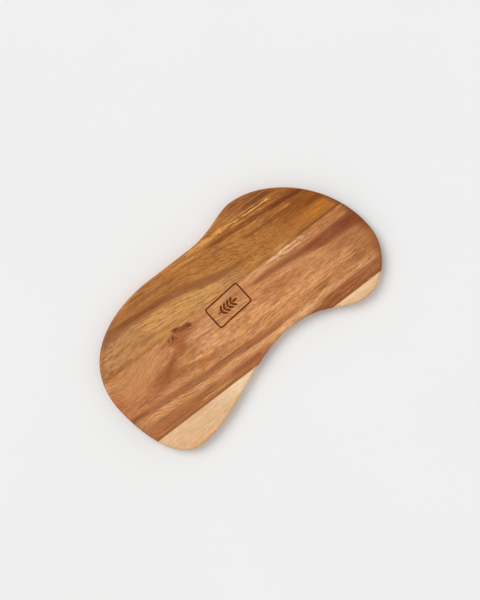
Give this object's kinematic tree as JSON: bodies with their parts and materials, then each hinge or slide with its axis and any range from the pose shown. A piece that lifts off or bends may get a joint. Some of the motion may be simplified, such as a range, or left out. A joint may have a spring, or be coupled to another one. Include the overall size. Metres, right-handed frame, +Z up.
{
  "type": "serving board",
  "caption": "Waisted freeform wooden serving board, edge-glued from acacia staves, with rounded rims and a small engraved panel, for carrying and serving food.",
  "frame": {"origin": "on the underside, in the middle of the outline's box", "axes": "+X along the grain from the broad foot to the head, +Y across the grain towards the crown, +Z up out of the serving face"},
  "size_m": [0.373, 0.21, 0.015],
  "materials": {
    "golden_heartwood": "oiled, satin",
    "pinkish_heartwood": "oiled, satin",
    "sapwood": "oiled, satin",
    "glue": "cured, sanded flush"
  },
  "bodies": {
    "root": {"upper_stave": "golden_heartwood", "middle_stave": "pinkish_heartwood", "toe_sapwood_stave": "sapwood", "heel_sapwood_stave": "sapwood", "upper_glue_line": "glue", "toe_glue_line": "glue", "heel_glue_line": "glue"}
  },
  "joints": []
}
